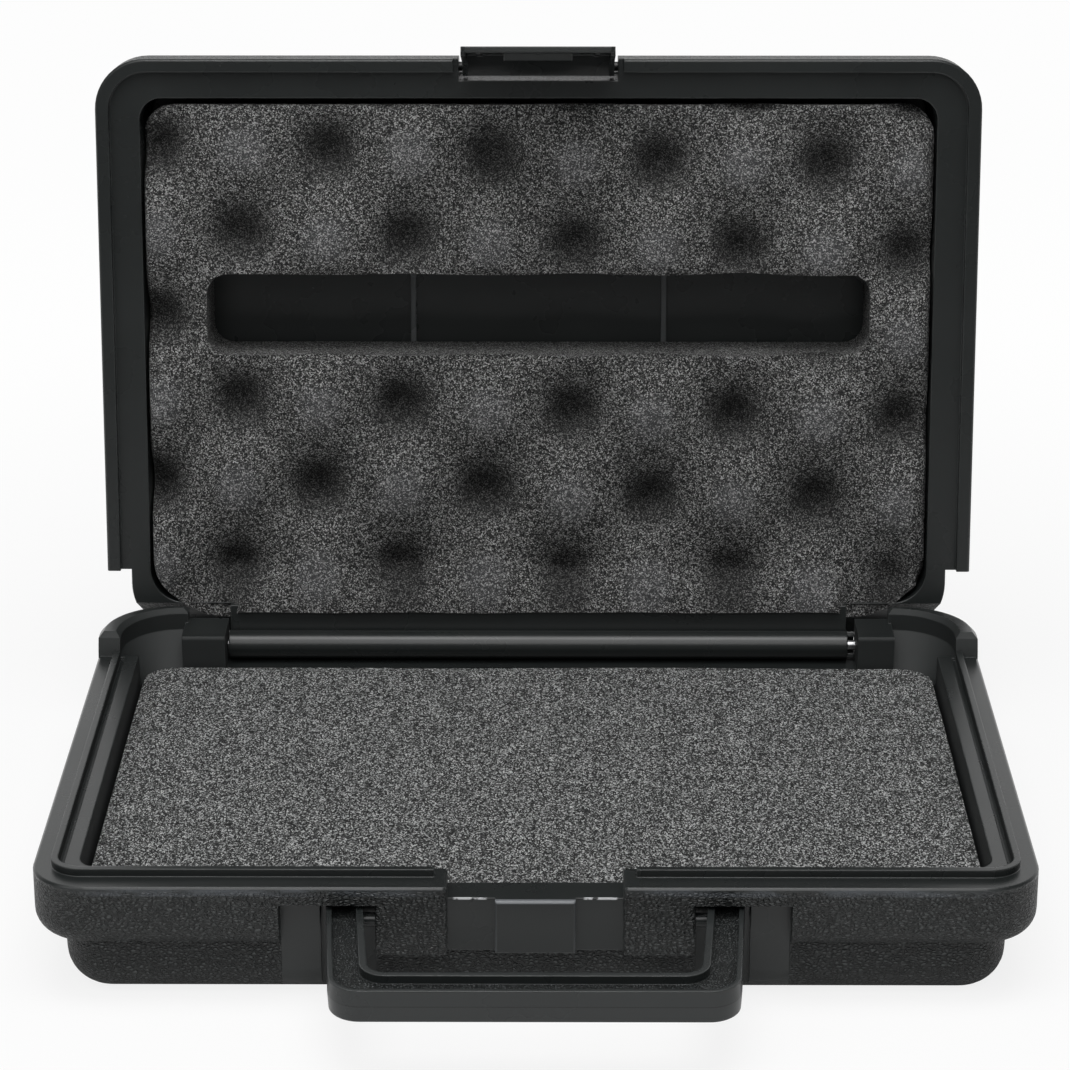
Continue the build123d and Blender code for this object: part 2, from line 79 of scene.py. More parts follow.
# Foam in the lid, measured from the hinge line: back is negative towards the latch, up is into the lid
lid_foam_side = 125.6 * MM
lid_foam_latch_edge = -174.2 * MM
lid_foam_hinge_edge = -12.3 * MM
lid_foam_corners = (10.0 * MM, 13.0 * MM)
lid_foam_face = 6.8 * MM
lid_foam_back = 34.8 * MM
lid_foam_back_inset = 1.7 * MM
barrel_side = 99.5 * MM
foam_side_step = 1.5 * MM
slot_side = 106.3 * MM
slot_near = -93.7 * MM
slot_far = -119.9 * MM
slot_corner = 6.5 * MM

# Egg-crate pattern of the lid foam: pitch, turn, one dimple's middle, depth, and how far it drifts
dimple_across = 53.3 * MM
dimple_along = 54.6 * MM
dimple_turn = radians(1.7)
dimple_at = (10.2 * MM, -74.5 * MM)
dimple_depth = 14.0 * MM
gentle_share, steep_share = 0.45, 0.55
dimple_drift = 1.5 * MM
drift_size = 55 * MM
# How hollow foam counts where it has no dimples, which gets neither painted shade nor painted highlight
plain_hollow = 0.4

# Bulge of the lid foam over the hinge wall, and the way its sides draw in
bulge_run = 14 * MM
bulge_over_barrel, bulge_beside_barrel = 2.4 * MM, 5.0 * MM
bulge_up_over_barrel, bulge_up_beside_barrel = 3.0 * MM, 8.1 * MM
bulge_end = (104 * MM, 121 * MM)
shoulder_beside_barrel, shoulder_drop_over_barrel = 9.6 * MM, 5.3 * MM
side_run = 12 * MM
drawn_in_right, drawn_in_left = 1.7 * MM, 0.7 * MM
side_wave = 1.5 * MM

# Lip at the barrel's right end: its ends across, its radii, and its turn in degrees up from the rear
lip_start, lip_end = 99.8 * MM, 102.6 * MM
lip_inner, lip_outer = 2.7 * MM, 4.3 * MM
lip_turns = (-110.0, 66.0)
lip_steps = 22

# Edges that turn further than this stay sharp
sharp_angle = radians(50)

# The photograph's camera: width and focal length in its own pixels, then place and turns
photo_width = 1070.0
focal_length = 3522.9
sensor_width = 36.0
camera_place = (0.00466, -0.96812, 0.46569)
camera_pitch, camera_yaw, camera_roll = radians(20.465), radians(-0.306), radians(0.046)

white = (1.0, 1.0, 1.0, 1.0)


def lid_point(x, back, up):
    """A place in the lid, from across, back and up of the hinge line when shut."""
    return hinge + lid_tilt @ Vector((x, back, up))


# Shader groups shared by the finishes

def new_group(name, inputs, outputs):
    """Node group with named float, vector or colour sockets and its two end nodes."""
    kinds = {"value": "NodeSocketFloat", "vector": "NodeSocketVector", "colour": "NodeSocketColor"}
    group = bpy.data.node_groups.new(name, "ShaderNodeTree")
    for label, kind, value in inputs:
        socket = group.interface.new_socket(label, in_out="INPUT", socket_type=kinds[kind])
        if value is not None:
            socket.default_value = value
    for label, kind in outputs:
        group.interface.new_socket(label, in_out="OUTPUT", socket_type=kinds[kind])
    return group, group.nodes.new("NodeGroupInput"), group.nodes.new("NodeGroupOutput")


def put(tree, kind, settings=None, **values):
    """Adds a node, sets its properties, and fills or links its inputs by name or number."""
    node = tree.nodes.new(kind)
    for name, value in (settings or {}).items():
        setattr(node, name, value)
    for name, value in values.items():
        key = int(name[1:]) if name[0] == "i" and name[1:].isdigit() else name.replace("_", " ")
        if isinstance(value, bpy.types.NodeSocket):
            tree.links.new(value, node.inputs[key])
        else:
            node.inputs[key].default_value = value
    return node


def calc(tree, operation, a, b=0.0, c=0.0):
    """One step of arithmetic on values or sockets."""
    return put(tree, "ShaderNodeMath", {"operation": operation}, i0=a, i1=b, i2=c).outputs[0]


def ramp(tree, value, low, high):
    """Soft step from 0 at low to 1 at high."""
    node = put(
        tree, "ShaderNodeMapRange", {"interpolation_type": "SMOOTHSTEP"},
        Value=value, From_Min=low, From_Max=high,
    )
    return node.outputs["Result"]


def blend_values(tree, share, a, b):
    """Value a where share is 0 and b where it is 1."""
    return put(tree, "ShaderNodeMix", {"data_type": "FLOAT"}, i0=share, i2=a, i3=b).outputs[0]


def blend_colours(tree, share, a, b):
    """Colour a where share is 0 and b where it is 1."""
    return put(tree, "ShaderNodeMix", {"data_type": "RGBA"}, i0=share, i6=a, i7=b).outputs[2]


def product(tree, first, *rest):
    """Values multiplied together."""
    for value in rest:
        first = calc(tree, "MULTIPLY", first, value)
    return first


def split(tree, vector):
    """The three parts of a vector."""
    return put(tree, "ShaderNodeSeparateXYZ", Vector=vector).outputs


def empty_tree(data):
    """Node tree of a material or world, with nothing in it."""
    data.use_nodes = True
    data.node_tree.nodes.clear()
    return data.node_tree


def pebble_grain_group():
    """Leather-like grain of the blown outer walls: low pebbles parted by short broken creases."""
    group, given, result = new_group(
        "pebble_grain",
        [("Place", "vector", None), ("Pebbles per metre", "value", 860.0), ("Unevenness", "value", 0.5)],
        [("Height", "value"), ("Crease", "value")],
    )
    drift = put(group, "ShaderNodeTexNoise", Vector=given.outputs["Place"], Scale=320.0, Detail=2.0)
    shift = put(
        group, "ShaderNodeVectorMath", {"operation": "SCALE"},
        i0=drift.outputs["Color"], Scale=0.0009,
    )
    place = put(
        group, "ShaderNodeVectorMath", {"operation": "ADD"},
        i0=given.outputs["Place"], i1=shift.outputs[0],
    )
    wide = put(group, "ShaderNodeMapping", Vector=place.outputs[0], Scale=(0.8, 0.8, 1.3))
    pebbles = put(
        group, "ShaderNodeTexVoronoi", {"feature": "DISTANCE_TO_EDGE"},
        Vector=wide.outputs[0], Scale=given.outputs["Pebbles per metre"],
    )
    low = put(group, "ShaderNodeTexNoise", Vector=place.outputs[0], Scale=700.0, Detail=2.0)
    broken = ramp(group, low.outputs["Fac"], 0.32, 0.50)
    crease = calc(group, "MULTIPLY", ramp(group, pebbles.outputs["Distance"], 0.22, 0.05), broken)
    dome = ramp(group, pebbles.outputs["Distance"], 0.0, 0.4)
    uneven = calc(group, "MULTIPLY", low.outputs["Fac"], given.outputs["Unevenness"])
    raised = calc(group, "MULTIPLY_ADD", dome, 0.5, uneven)
    height = calc(group, "SUBTRACT", raised, crease)
    group.links.new(height, result.inputs["Height"])
    group.links.new(crease, result.inputs["Crease"])
    return group


def foam_cells_group():
    """Open cells of cut foam: dark pores, grey walls and a few walls that catch the light."""
    group, given, result = new_group(
        "foam_cells",
        [
            ("Place", "vector", None), ("Cells per metre", "value", 2900.0),
            ("Dark", "colour", (0.02, 0.02, 0.02, 1.0)), ("Light", "colour", (0.3, 0.3, 0.3, 1.0)),
        ],
        [("Colour", "colour"), ("Height", "value")],
    )
    cells = put(
        group, "ShaderNodeTexVoronoi",
        Vector=given.outputs["Place"], Scale=given.outputs["Cells per metre"],
    )
    parted = put(group, "ShaderNodeSeparateColor", Color=cells.outputs["Color"])
    patchy = put(group, "ShaderNodeTexNoise", Vector=given.outputs["Place"], Scale=420.0, Detail=3.0)
    spread = calc(group, "POWER", parted.outputs[0], 3.6)
    patch = calc(group, "MULTIPLY_ADD", patchy.outputs["Fac"], 0.9, 0.5)
    bright = calc(group, "MULTIPLY", ramp(group, parted.outputs[1], 0.975, 0.990), 1.8)
    tone = calc(group, "ADD", calc(group, "MULTIPLY", spread, patch), bright)
    colour = blend_colours(group, tone, given.outputs["Dark"], given.outputs["Light"])
    group.links.new(colour, result.inputs["Colour"])
    group.links.new(parted.outputs[2], result.inputs["Height"])
    return group


def edge_rub_and_highlight_group():
    """Rounded look of moulded edges, with a mask of where they are lighter: partly rubbed wear, partly
    painted edge highlight.
    """
    group, given, result = new_group(
        "edge_rub_and_highlight",
        [("Round", "value", 0.0006), ("Place", "vector", None)],
        [("Normal", "vector"), ("Rub and highlight", "value")],
    )
    rounded = put(group, "ShaderNodeBevel", {"samples": 8}, Radius=given.outputs["Round"])
    plain = group.nodes.new("ShaderNodeNewGeometry")
    alike = put(
        group, "ShaderNodeVectorMath", {"operation": "DOT_PRODUCT"},
        i0=rounded.outputs[0], i1=plain.outputs["Normal"],
    )
    patchy = put(group, "ShaderNodeTexNoise", Vector=given.outputs["Place"], Scale=55.0, Detail=3.0)
    turned = calc(group, "SUBTRACT", 1.0, alike.outputs["Value"])
    edge = ramp(group, turned, 0.01, 0.12)
    rub_and_highlight = calc(group, "MULTIPLY", edge, ramp(group, patchy.outputs["Fac"], 0.32, 0.56))
    group.links.new(rounded.outputs[0], result.inputs["Normal"])
    group.links.new(rub_and_highlight, result.inputs["Rub and highlight"])
    return group


pebble_grain = pebble_grain_group()
foam_cells = foam_cells_group()
edge_rub_and_highlight = edge_rub_and_highlight_group()


def new_material(name):
    """Empty material with its Principled shader and the object's own coordinates."""
    material = bpy.data.materials.new(name)
    tree = empty_tree(material)
    shader = tree.nodes.new("ShaderNodeBsdfPrincipled")
    output = tree.nodes.new("ShaderNodeOutputMaterial")
    tree.links.new(shader.outputs[0], output.inputs["Surface"])
    return material, tree, shader, tree.nodes.new("ShaderNodeTexCoord")


def use_group(tree, group, **values):
    """Places a shared group and fills its inputs."""
    return put(tree, "ShaderNodeGroup", {"node_tree": group}, **values)


def inside_range(tree, value, low, high, soft):
    """Mask that is 1 between two values and falls off softly outside them."""
    rise = ramp(tree, value, low - soft, low + soft)
    fall = ramp(tree, value, high + soft, high - soft)
    return calc(tree, "MULTIPLY", rise, fall)


def moulded_plastic(name, colour, grain_mask=None, pebbles=860.0, grain_depth=0.0005, rubbed_and_highlit_top_share=1.0,
                    dull=None, dark_line=None, marks=()):
    """Satin black plastic, pebbled where the grain mask is 1, with painted shade in the grain's creases,
    pebble tops and edges lighter as partly rubbed wear and partly painted highlight, dull places, dark lines,
    and pale marks that are flash and painted highlights.
    """
    material, tree, shader, coordinates = new_material(name)
    place = coordinates.outputs["Object"]
    edges = use_group(tree, edge_rub_and_highlight, Place=place)
    cloudy = put(tree, "ShaderNodeTexNoise", Vector=place, Scale=38.0, Detail=4.0).outputs["Fac"]
    sand = put(tree, "ShaderNodeTexNoise", Vector=place, Scale=2600.0, Detail=1.0).outputs["Fac"]

    # Lighter tone for rubbed edges and pebble tops: partly wear, partly painted highlight
    worn = tuple(min(1.0, 2.4 * c + 0.02) for c in colour)
    # Dark tone for the painted shade in the grain's creases and for the handle's parting line
    crease_shade_and_line = tuple(0.3 * c for c in colour)
    lighter = tuple(1.3 * c for c in colour)
    base = blend_colours(tree, cloudy, (*colour, 1.0), (*lighter, 1.0))
    roughness = calc(tree, "MULTIPLY_ADD", cloudy, 0.12, 0.22)
    normal = edges.outputs["Normal"]
    if grain_mask:
        mask = grain_mask(tree, coordinates)
        grain = use_group(tree, pebble_grain, Place=place, **{"Pebbles per metre": pebbles})
        # Painted shade: the grain's creases are darkened
        crease_shade = calc(tree, "MULTIPLY", mask, grain.outputs["Crease"])
        base = blend_colours(tree, calc(tree, "MULTIPLY", crease_shade, 0.8), base, (*crease_shade_and_line, 1.0))
        # Pebble tops lighter: partly rubbed wear, partly painted highlight
        rubbed_and_highlit_tops = ramp(tree, grain.outputs["Height"], 0.45, 0.85)
        base = blend_colours(tree, product(tree, mask, rubbed_and_highlit_tops, rubbed_and_highlit_top_share), base, (*worn, 1.0))
        roughness = blend_values(tree, mask, roughness, 0.42)
        height = calc(tree, "MULTIPLY", mask, grain.outputs["Height"])
        normal = put(
            tree, "ShaderNodeBump", Strength=0.9, Distance=grain_depth, Height=height, Normal=normal,
        ).outputs[0]
    # Edges lighter: partly rubbed wear, partly painted highlight along them
    base = blend_colours(tree, calc(tree, "MULTIPLY", edges.outputs["Rub and highlight"], 0.7), base, (*worn, 1.0))
    if dull:
        roughness = blend_values(tree, dull(tree, coordinates), roughness, 0.68)
    if dark_line:
        base = blend_colours(tree, dark_line(tree, coordinates), base, (*crease_shade_and_line, 1.0))
    for mark, shade in marks:
        base = blend_colours(tree, mark(tree, coordinates), base, (*shade, 1.0))
    tree.links.new(base, shader.inputs["Base Color"])
    tree.links.new(roughness, shader.inputs["Roughness"])
    fine = put(tree, "ShaderNodeBump", Strength=0.4, Distance=0.00003, Height=sand, Normal=normal)
    tree.links.new(fine.outputs[0], shader.inputs["Normal"])
    shader.inputs["Specular IOR Level"].default_value = 0.46
    return material


def facing_out(tree, x, y, nx, ny):
    """How far out a wall stands that faces away from the middle, negative where it faces the middle."""
    return calc(tree, "ADD", product(tree, x, nx), product(tree, y, ny))


def turned_back(tree, coordinates, pivot, angle):
    """Place from a pivot, and facing, both turned about the line across the case and split in three."""
    moved = put(
        tree, "ShaderNodeVectorMath", {"operation": "SUBTRACT"},
        i0=coordinates.outputs["Object"], i1=pivot,
    )
    turn = {"rotation_type": "X_AXIS"}
    place = put(tree, "ShaderNodeVectorRotate", turn, Vector=moved.outputs[0], Angle=angle)
    facing = put(tree, "ShaderNodeVectorRotate", turn, Vector=coordinates.outputs["Normal"], Angle=angle)
    return split(tree, place.outputs[0]), split(tree, facing.outputs[0])


def base_grain(tree, coordinates):
    """Outer walls of the base, its front pads and the strip under them."""
    x, y, z = split(tree, coordinates.outputs["Object"])
    nx, ny, nz = split(tree, coordinates.outputs["Normal"])
    from_centre = calc(tree, "ABSOLUTE", x)
    outer = ramp(tree, facing_out(tree, x, y, nx, ny), 0.001, 0.01)
    facing_down = ramp(tree, nz, -0.3, -0.7)
    wall = calc(tree, "MAXIMUM", outer, facing_down)
    below_rim = ramp(tree, z, rim_height - 0.6 * MM, rim_height - 2.4 * MM)
    near_front = ramp(tree, y, channel_back + 1.5 * MM, channel_back + 0.5 * MM)
    channel = product(
        tree,
        inside_range(tree, from_centre, pad_side, channel_side, 0.3 * MM),
        ramp(tree, z, channel_roof + 0.2 * MM, channel_roof - 0.2 * MM),
    )
    recess = product(
        tree,
        ramp(tree, from_centre, recess_side + 0.3 * MM, recess_side - 0.3 * MM),
        ramp(tree, z, pad_bottom - 0.2 * MM, pad_bottom + 0.3 * MM),
    )
    smooth = product(tree, near_front, calc(tree, "MAXIMUM", channel, recess))
    return product(tree, wall, below_rim, calc(tree, "SUBTRACT", 1.0, smooth))


def lid_grain(tree, coordinates):
    """Outer walls and top of the lid."""
    (x, back, up), (nx, nback, nup) = turned_back(tree, coordinates, hinge, lid_open)
    from_middle = calc(tree, "SUBTRACT", back, lid_middle)
    outer = ramp(tree, facing_out(tree, x, from_middle, nx, nback), 0.001, 0.01)
    wall = calc(tree, "MAXIMUM", outer, ramp(tree, nup, 0.3, 0.7))
    off_rim = ramp(tree, up, lid_rim_up + 0.6 * MM, lid_rim_up + 2.4 * MM)
    off_barrel = ramp(tree, back, -8 * MM, -12 * MM)
    high = ramp(tree, up, *lid_wall_up)
    return product(tree, wall, off_rim, calc(tree, "MAXIMUM", off_barrel, high))


def flash_marks(tree, coordinates):
    """Pale broken flash left along the top edges of the latch recess, on both sides of the catch."""
    x, y, z = split(tree, coordinates.outputs["Object"])
    from_centre = calc(tree, "ABSOLUTE", x)
    torn = put(tree, "ShaderNodeTexNoise", Vector=coordinates.outputs["Object"], Scale=420.0, Detail=3.0)
    return product(
        tree,
        inside_range(tree, from_centre, *catch_gap, 0.5 * MM),
        inside_range(tree, y, recess_back - 0.4 * MM, recess_back + 0.5 * MM, 0.1 * MM),
        inside_range(tree, z, recess_top - 0.5 * MM, recess_top + 0.3 * MM, 0.1 * MM),
        ramp(tree, torn.outputs["Fac"], 0.40, 0.52),
    )


def inside_of_base(tree, coordinates):
    """Duller inner skin of the base, on the walls that face its middle."""
    x, y, _ = split(tree, coordinates.outputs["Object"])
    nx, ny, _ = split(tree, coordinates.outputs["Normal"])
    return ramp(tree, facing_out(tree, x, y, nx, ny), -0.015, -0.045)


def catch_edge_highlight(tree, coordinates):
    """Painted highlight along the edges round the catch, strongest on its top edge."""
    x, y, z = split(tree, coordinates.outputs["Object"])
    from_centre = calc(tree, "ABSOLUTE", x)
    near = product(
        tree,
        ramp(tree, y, recess_back - 0.6 * MM, recess_back - 1.0 * MM),
        ramp(tree, from_centre, catch_side + 0.3 * MM, catch_side + 0.1 * MM),
    )
    upper = ramp(tree, z, recess_top - 0.9 * MM, recess_top - 0.5 * MM)
    sides = product(tree, ramp(tree, from_centre, catch_side - 0.6 * MM, catch_side - 0.3 * MM), 0.25)
    return product(tree, near, calc(tree, "MAXIMUM", upper, sides))


def rim_edge_sheen(tree, coordinates):
    """Painted highlight: a pale sheen strip along the top edge of the front wall, broken in patches."""
    x, y, z = split(tree, coordinates.outputs["Object"])
    drawn = put(tree, "ShaderNodeMapping", Vector=coordinates.outputs["Object"], Scale=(0.25, 1.0, 1.6))
    torn = put(tree, "ShaderNodeTexNoise", Vector=drawn.outputs[0], Scale=260.0, Detail=5.0)
    return product(
        tree,
        inside_range(tree, z, rim_height - 2.6 * MM, rim_height - 0.5 * MM, 0.4 * MM),
        ramp(tree, y, front + 1.2 * MM, front + 0.4 * MM),
        inside_range(tree, calc(tree, "ABSOLUTE", x), *sheen_run, 8 * MM),
        0.75,
        ramp(tree, torn.outputs["Fac"], 0.34, 0.60),
    )


def rib_top_highlight(tree, coordinates):
    """Painted highlight on the tops of the two ribs under the lid's ceiling."""
    (x, back, up), _ = turned_back(tree, coordinates, hinge, lid_open)
    across = calc(tree, "ABSOLUTE", calc(tree, "SUBTRACT", calc(tree, "ABSOLUTE", x), lid_rib_side))
    return product(
        tree,
        inside_range(tree, up, lid_foam_back - 0.6 * MM, lid_foam_back + 0.6 * MM, 0.3 * MM),
        inside_range(tree, back, slot_far - 6 * MM, slot_near + 6 * MM, 1 * MM),
        ramp(tree, across, 1.05 * MM, 0.75 * MM),
    )


def across_the_handle(tree, coordinates):
    """Height over the handle's middle plane, and how squarely the surface faces away from that plane."""
    (_, _, height), (_, _, level) = turned_back(tree, coordinates, handle_pivot, -handle_droop)
    return calc(tree, "ABSOLUTE", height), calc(tree, "ABSOLUTE", level)


def handle_web_grain(tree, coordinates):
    """Sandy floor of the handle's web, between its two smooth rails."""
    height, level = across_the_handle(tree, coordinates)
    return product(tree, ramp(tree, height, 3.2 * MM, 2.8 * MM), ramp(tree, level, 0.9, 0.97))


def parting_line(tree, coordinates):
    """Fine line round the handle where the halves of its mould met."""
    height, level = across_the_handle(tree, coordinates)
    return product(tree, ramp(tree, height, 0.24 * MM, 0.10 * MM), ramp(tree, level, 0.4, 0.2), 0.8)


def foam_material(name, dark, light, stretch):
    """Charcoal foam with open cells, drawn out along the way it was cut, with painted shade in its dimples
    and painted highlight on its bumps.
    """
    material, tree, shader, coordinates = new_material(name)
    place = put(tree, "ShaderNodeMapping", Vector=coordinates.outputs["Object"], Scale=stretch).outputs[0]
    cells = use_group(tree, foam_cells, Place=place, Dark=(*dark, 1.0), Light=(*light, 1.0))
    hollow = put(tree, "ShaderNodeAttribute", {"attribute_name": "hollow"}).outputs["Fac"]
    # Painted shade deep in the dimples and painted highlight on the bumps between them
    painted_dimple_shade = calc(tree, "MULTIPLY", ramp(tree, hollow, 0.52, 1.0), 0.66)
    colour = blend_colours(tree, painted_dimple_shade, cells.outputs["Colour"], (*dark, 1.0))
    painted_bump_highlight = calc(tree, "MULTIPLY", ramp(tree, hollow, 0.30, 0.02), 0.07)
    colour = blend_colours(tree, painted_bump_highlight, colour, (0.50, 0.51, 0.54, 1.0))
    tree.links.new(colour, shader.inputs["Base Color"])
    bump = put(tree, "ShaderNodeBump", Strength=0.7, Distance=0.0003, Height=cells.outputs["Height"])
    tree.links.new(bump.outputs[0], shader.inputs["Normal"])
    rough = put(tree, "ShaderNodeTexNoise", Vector=place, Scale=900.0).outputs["Fac"]
    tree.links.new(calc(tree, "MULTIPLY_ADD", rough, 0.2, 0.75), shader.inputs["Roughness"])
    shader.inputs["Specular IOR Level"].default_value = 0.25
    return material


def pin_steel_material():
    """Drawn steel wire with fine marks round it."""
    material, tree, shader, coordinates = new_material("drawn_steel")
    place = coordinates.outputs["Object"]
    stretched = put(tree, "ShaderNodeMapping", Vector=place, Scale=(30.0, 1.0, 1.0))
    drawn = put(tree, "ShaderNodeTexNoise", Vector=stretched.outputs[0], Scale=400.0, Detail=3.0)
    marks = drawn.outputs["Fac"]
    shade = blend_colours(tree, marks, (0.36, 0.36, 0.37, 1.0), (0.62, 0.62, 0.63, 1.0))
    tree.links.new(shade, shader.inputs["Base Color"])
    tree.links.new(calc(tree, "MULTIPLY_ADD", marks, 0.2, 0.2), shader.inputs["Roughness"])
    shader.inputs["Metallic"].default_value = 1.0
    return material


def dress(node, material):
    """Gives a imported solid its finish."""
    mesh = frame["nodes"][node].data
    mesh.materials.clear()
    mesh.materials.append(material)


case_black = (0.0135, 0.0155, 0.0153)
handle_black = (0.0175, 0.0200, 0.0200)
flash_white = (0.55, 0.56, 0.57)
# Painted highlight colours for the catch's edges, the rim's sheen and the rib tops
painted_highlight_grey = (0.16, 0.17, 0.18)
painted_sheen_grey = (0.075, 0.083, 0.093)
painted_rib_highlight_grey = (0.075, 0.080, 0.082)
dress("base_shell", moulded_plastic("base_plastic", case_black, base_grain, dull=inside_of_base, marks=(
    (rim_edge_sheen, painted_sheen_grey), (catch_edge_highlight, painted_highlight_grey), (flash_marks, flash_white),
)))
lid_plastic = moulded_plastic("lid_plastic", case_black, lid_grain, marks=((rib_top_highlight, painted_rib_highlight_grey),))
dress("lid_shell", lid_plastic)
dress("latch", moulded_plastic("latch_plastic", case_black))
dress("carry_handle", moulded_plastic(
    "handle_plastic", handle_black, handle_web_grain, pebbles=1700.0, grain_depth=0.0004, rubbed_and_highlit_top_share=2.4,
    dark_line=parting_line,
))
dress("hinge_pin", pin_steel_material())
lid_foam_finish = foam_material(
    "lid_foam_charcoal", dark=(0.008, 0.008, 0.008), light=(0.40, 0.40, 0.395), stretch=(1.0, 1.0, 1.0),
)
base_foam_finish = foam_material(
    "base_foam_charcoal", dark=(0.009, 0.0095, 0.0095), light=(0.56, 0.57, 0.565), stretch=(1.0, 0.6, 1.0),
)


# Foam pads, and the lip beside the hinge barrel

def add_object(name, data):
    """New object in the scene."""
    made = bpy.data.objects.new(name, data)
    bpy.context.scene.collection.objects.link(made)
    return made


def add_mesh(name, mesh, finish):
    """New object from a built mesh and its finish."""
    data = bpy.data.meshes.new(name)
    mesh.to_mesh(data)
    mesh.free()
    data.materials.append(finish)
    return add_object(name, data)


def add_smooth_mesh(name, mesh, finish):
    """New object with smooth faces that meet in sharp edges where they turn far."""
    made = add_mesh(name, mesh, finish)
    made.data.shade_smooth()
    made.data.set_sharp_from_angle(angle=sharp_angle)
    return made


class RoundedBox:
    """Rectangle in a pad's plan with one radius at its low corners and one at its high corners."""

    def __init__(self, x_low, x_high, y_low, y_high, low_radius, high_radius):
        self.x_low, self.x_high, self.y_low, self.y_high = x_low, x_high, y_low, y_high
        self.low_radius, self.high_radius = low_radius, high_radius

    def outline(self, step):
        """Points round the edge, anticlockwise and evenly spaced."""
        low, high = self.low_radius, self.high_radius
        corners = (
            (self.x_high - high, self.y_high - high, high, 0.0),
            (self.x_low + high, self.y_high - high, high, 0.5 * pi),
            (self.x_low + low, self.y_low + low, low, pi),
            (self.x_high - low, self.y_low + low, low, 1.5 * pi),
        )
        arcs = []
        for x, y, radius, start in corners:
            count = max(4, round(0.5 * pi * radius / step))
            turns = [start + 0.5 * pi * k / count for k in range(count + 1)]
            arcs.append([(x + radius * cos(turn), y + radius * sin(turn)) for turn in turns])
        points = []
        for number, arc in enumerate(arcs):
            following = arcs[(number + 1) % len(arcs)]
            points += arc
            run = Vector(following[0]) - Vector(arc[-1])
            count = max(1, round(run.length / step))
            points += [tuple(Vector(arc[-1]) + run * (k / count)) for k in range(1, count)]
        return points

    def depth(self, x, y):
        """How far a point lies inside the edge, negative outside it."""
        middle_x, middle_y = (self.x_low + self.x_high) / 2, (self.y_low + self.y_high) / 2
        radius = self.high_radius if y > middle_y else self.low_radius
        dx = abs(x - middle_x) - (self.x_high - self.x_low) / 2 + radius
        dy = abs(y - middle_y) - (self.y_high - self.y_low) / 2 + radius
        outside = Vector((max(dx, 0.0), max(dy, 0.0))).length
        return radius - outside - min(max(dx, dy), 0.0)


def foam_pad(name, plan, hole, step, face, shoulder, back, finish, hollow):
    """Closed foam pad: a shaped face over a plan with an optional hole, square cut sides and a flat back."""
    loops = [plan.outline(step)] + ([hole.outline(step)] if hole else [])
    points = [Vector(p) for loop in loops for p in loop]
    edges = []
    start = 0
    for loop in loops:
        edges += [(start + k, start + (k + 1) % len(loop)) for k in range(len(loop))]
        start += len(loop)
    across = int((plan.x_high - plan.x_low) / step)
    along = int((plan.y_high - plan.y_low) / step)
    for j in range(1, along):
        for i in range(1, across):
            shift = 0.25 * step * (1 if j % 2 else -1)
            x = plan.x_low + i * (plan.x_high - plan.x_low) / across + shift
            y = plan.y_low + j * (plan.y_high - plan.y_low) / along
            if plan.depth(x, y) > 0.6 * step and not (hole and hole.depth(x, y) > -0.6 * step):
                points.append(Vector((x, y)))
    flat, _, faces, _, _, _ = delaunay_2d_cdt(points, edges, [], 1, 1e-7)
    if hole:
        middles = [sum((flat[k] for k in corners), Vector((0, 0))) / len(corners) for corners in faces]
        faces = [corners for corners, middle in zip(faces, middles) if hole.depth(*middle) < 0.1 * MM]

    mesh = bmesh.new()
    hollow_at = mesh.verts.layers.float.new("hollow")
    front_side = [mesh.verts.new(face(p.x, p.y)) for p in flat]
    back_side = [mesh.verts.new(back(p.x, p.y)) for p in flat]
    for corners in faces:
        mesh.faces.new([front_side[k] for k in corners])
        mesh.faces.new([back_side[k] for k in reversed(corners)])
    mesh.verts.index_update()
    for vertex, place in zip(front_side, flat):
        vertex[hollow_at] = hollow(place.x, place.y)
    for vertex in back_side:
        vertex[hollow_at] = plain_hollow
    count = len(flat)
    cut = [edge for edge in mesh.edges if edge.is_boundary and max(v.index for v in edge.verts) < count]
    pairs = [(edge.verts[0], edge.verts[1]) for edge in cut]
    middle_side = {}
    for vertex in dict.fromkeys(v for pair in pairs for v in pair):
        middle_side[vertex] = mesh.verts.new(shoulder(*flat[vertex.index]))
        middle_side[vertex][hollow_at] = plain_hollow
    for a, b in pairs:
        mesh.faces.new((a, b, middle_side[b], middle_side[a]))
        mesh.faces.new((middle_side[a], middle_side[b], back_side[b.index], back_side[a.index]))
    loose = [v for v in mesh.verts if not v.link_faces]
    bmesh.ops.delete(mesh, geom=loose, context="VERTS")
    bmesh.ops.recalc_face_normals(mesh, faces=mesh.faces)
    return add_smooth_mesh(name, mesh, finish)


def smooth_step(value, low, high):
    """Soft step from 0 at low to 1 at high."""
    share = min(1.0, max(0.0, (value - low) / (high - low)))
    return share * share * (3 - 2 * share)


def ripple(x, y, size, seed):
    """Smooth random wave between -1 and 1 with bumps of a given size."""
    return noise.noise(Vector((x / size, y / size, seed)))


lid_foam_plan = RoundedBox(
    -lid_foam_side, lid_foam_side, lid_foam_latch_edge, lid_foam_hinge_edge, *lid_foam_corners
)
slot_plan = RoundedBox(-slot_side, slot_side, slot_far, slot_near, slot_corner, slot_corner)


def dimple(x, back):
    """Egg-crate pattern, 1 in the middle of a dimple: rows of dimples, each set half a pitch along."""
    x += dimple_drift * ripple(x, back, drift_size, 0.3)
    back += dimple_drift * ripple(x, back, drift_size, 7.7)
    dx, dy = x - dimple_at[0], back - dimple_at[1]
    across = cos(dimple_turn) * dx + sin(dimple_turn) * dy
    along = cos(dimple_turn) * dy - sin(dimple_turn) * dx
    return 0.5 + 0.5 * cos(2 * pi * across / dimple_across) * cos(2 * pi * along / dimple_along)


